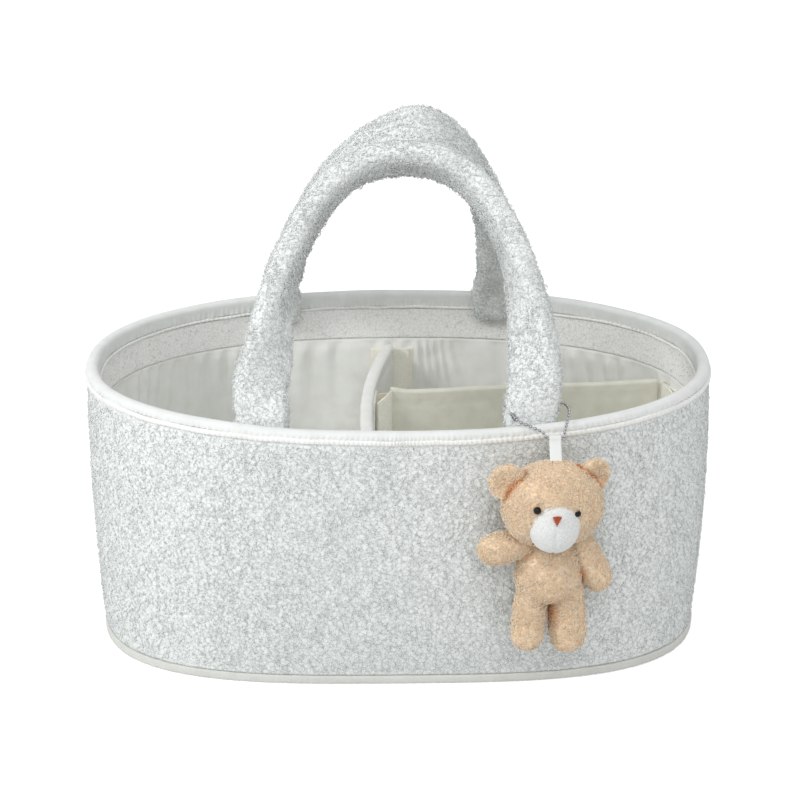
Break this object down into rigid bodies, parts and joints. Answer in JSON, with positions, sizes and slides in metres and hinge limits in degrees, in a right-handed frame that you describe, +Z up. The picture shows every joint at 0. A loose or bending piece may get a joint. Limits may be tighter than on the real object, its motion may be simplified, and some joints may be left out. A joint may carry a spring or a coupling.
{
  "type": "diaper caddy",
  "caption": "Padded oval caddy with looped-pile walls, bound rim, two folding padded handles, lift-out dividers and a plush bear charm.",
  "frame": {"origin": "middle of the basket's underside, on the surface that it stands on", "axes": "+Z up, +X along the basket's long side to the right as seen from the charm's side, -Y towards the side with the charm"},
  "size_m": [0.3812, 0.294, 0.3116],
  "materials": {
    "boucle": "looped white pile",
    "cotton": "smooth white cotton",
    "lining": "soft off-white cotton",
    "foam": "soft padding",
    "board": "stiff board",
    "tape": "hook and loop tape",
    "steel": "dark silver ball chain",
    "plush": "short apricot plush",
    "plush_white": "white plush",
    "eye": "glossy black",
    "thread": "stitched thread"
  },
  "bodies": {
    "basket": {"outer_shell": "boucle", "inner_facing": "boucle", "front_handle_root_left": "boucle", "front_handle_root_right": "boucle", "back_handle_root_left": "boucle", "back_handle_root_right": "boucle", "rim_binding": "cotton", "rim_welt_outer": "cotton", "rim_welt_inner": "cotton", "base_piping": "cotton", "base_cover": "cotton", "lining": "lining", "floor_lining": "lining", "wall_foam": "foam", "base_board": "board", "loop_strip_back": "tape", "loop_strip_front": "tape", "loop_strip_end": "tape", "charm_chain_left": "steel", "charm_chain_right": "steel", "charm_chain_clasp": "steel"},
    "cross_divider": {"cross_divider_cover": "cotton", "cross_divider_board": "board", "cross_divider_tab_back": "tape", "cross_divider_tab_front": "tape", "cross_divider_loop_strip": "tape"},
    "long_divider": {"long_divider_cover": "cotton", "long_divider_board": "board", "long_divider_tab_end": "tape", "long_divider_tab_join": "tape"},
    "front_handle": {"front_handle_cover": "boucle", "front_handle_foam": "foam"},
    "back_handle": {"back_handle_cover": "boucle", "back_handle_foam": "foam"},
    "charm_link": {"charm_chain_link": "steel"},
    "charm": {"charm_ribbon": "cotton", "bear_head": "plush", "bear_torso": "plush", "bear_ear_left": "plush", "bear_ear_right": "plush", "bear_muzzle": "plush_white", "bear_eye_left": "eye", "bear_eye_right": "eye", "bear_nose": "thread", "bear_leg_left": "plush", "bear_leg_right": "plush"},
    "bear_left_arm": {"bear_arm_left": "plush"},
    "bear_right_arm": {"bear_arm_right": "plush"}
  },
  "joints": [
    {"name": "front_handle_fold", "type": "hinge", "parent": "basket", "child": "front_handle", "pos_m": [0, -0.0985, 0.178], "axis": [1, 0, 0], "range_deg": [0, 105]},
    {"name": "back_handle_fold", "type": "hinge", "parent": "basket", "child": "back_handle", "pos_m": [0, 0.0985, 0.178], "axis": [-1, 0, 0], "range_deg": [0, 105]},
    {"name": "cross_divider_lift", "type": "slide", "parent": "basket", "child": "cross_divider", "axis": [0, 0, 1], "range_m": [0, 0.135]},
    {"name": "long_divider_lift", "type": "slide", "parent": "basket", "child": "long_divider", "axis": [0, 0, 1], "range_m": [0, 0.105]},
    {"name": "charm_swing", "type": "hinge", "parent": "basket", "child": "charm_link", "pos_m": [0.086, -0.126, 0.162], "axis": [0.225, -0.9744, 0], "range_deg": [-30, 30]},
    {"name": "charm_lift", "type": "hinge", "parent": "charm_link", "child": "charm", "pos_m": [0.086, -0.126, 0.162], "axis": [-1, 0, 0], "range_deg": [0, 45]},
    {"name": "bear_left_arm_turn", "type": "hinge", "parent": "charm", "child": "bear_left_arm", "pos_m": [0.06975, -0.13766, 0.1015], "axis": [0.225, -0.9744, 0], "range_deg": [-25, 25]},
    {"name": "bear_right_arm_turn", "type": "hinge", "parent": "charm", "child": "bear_right_arm", "pos_m": [0.10015, -0.13065, 0.101], "axis": [0.225, -0.9744, 0], "range_deg": [0, 40]}
  ]
}
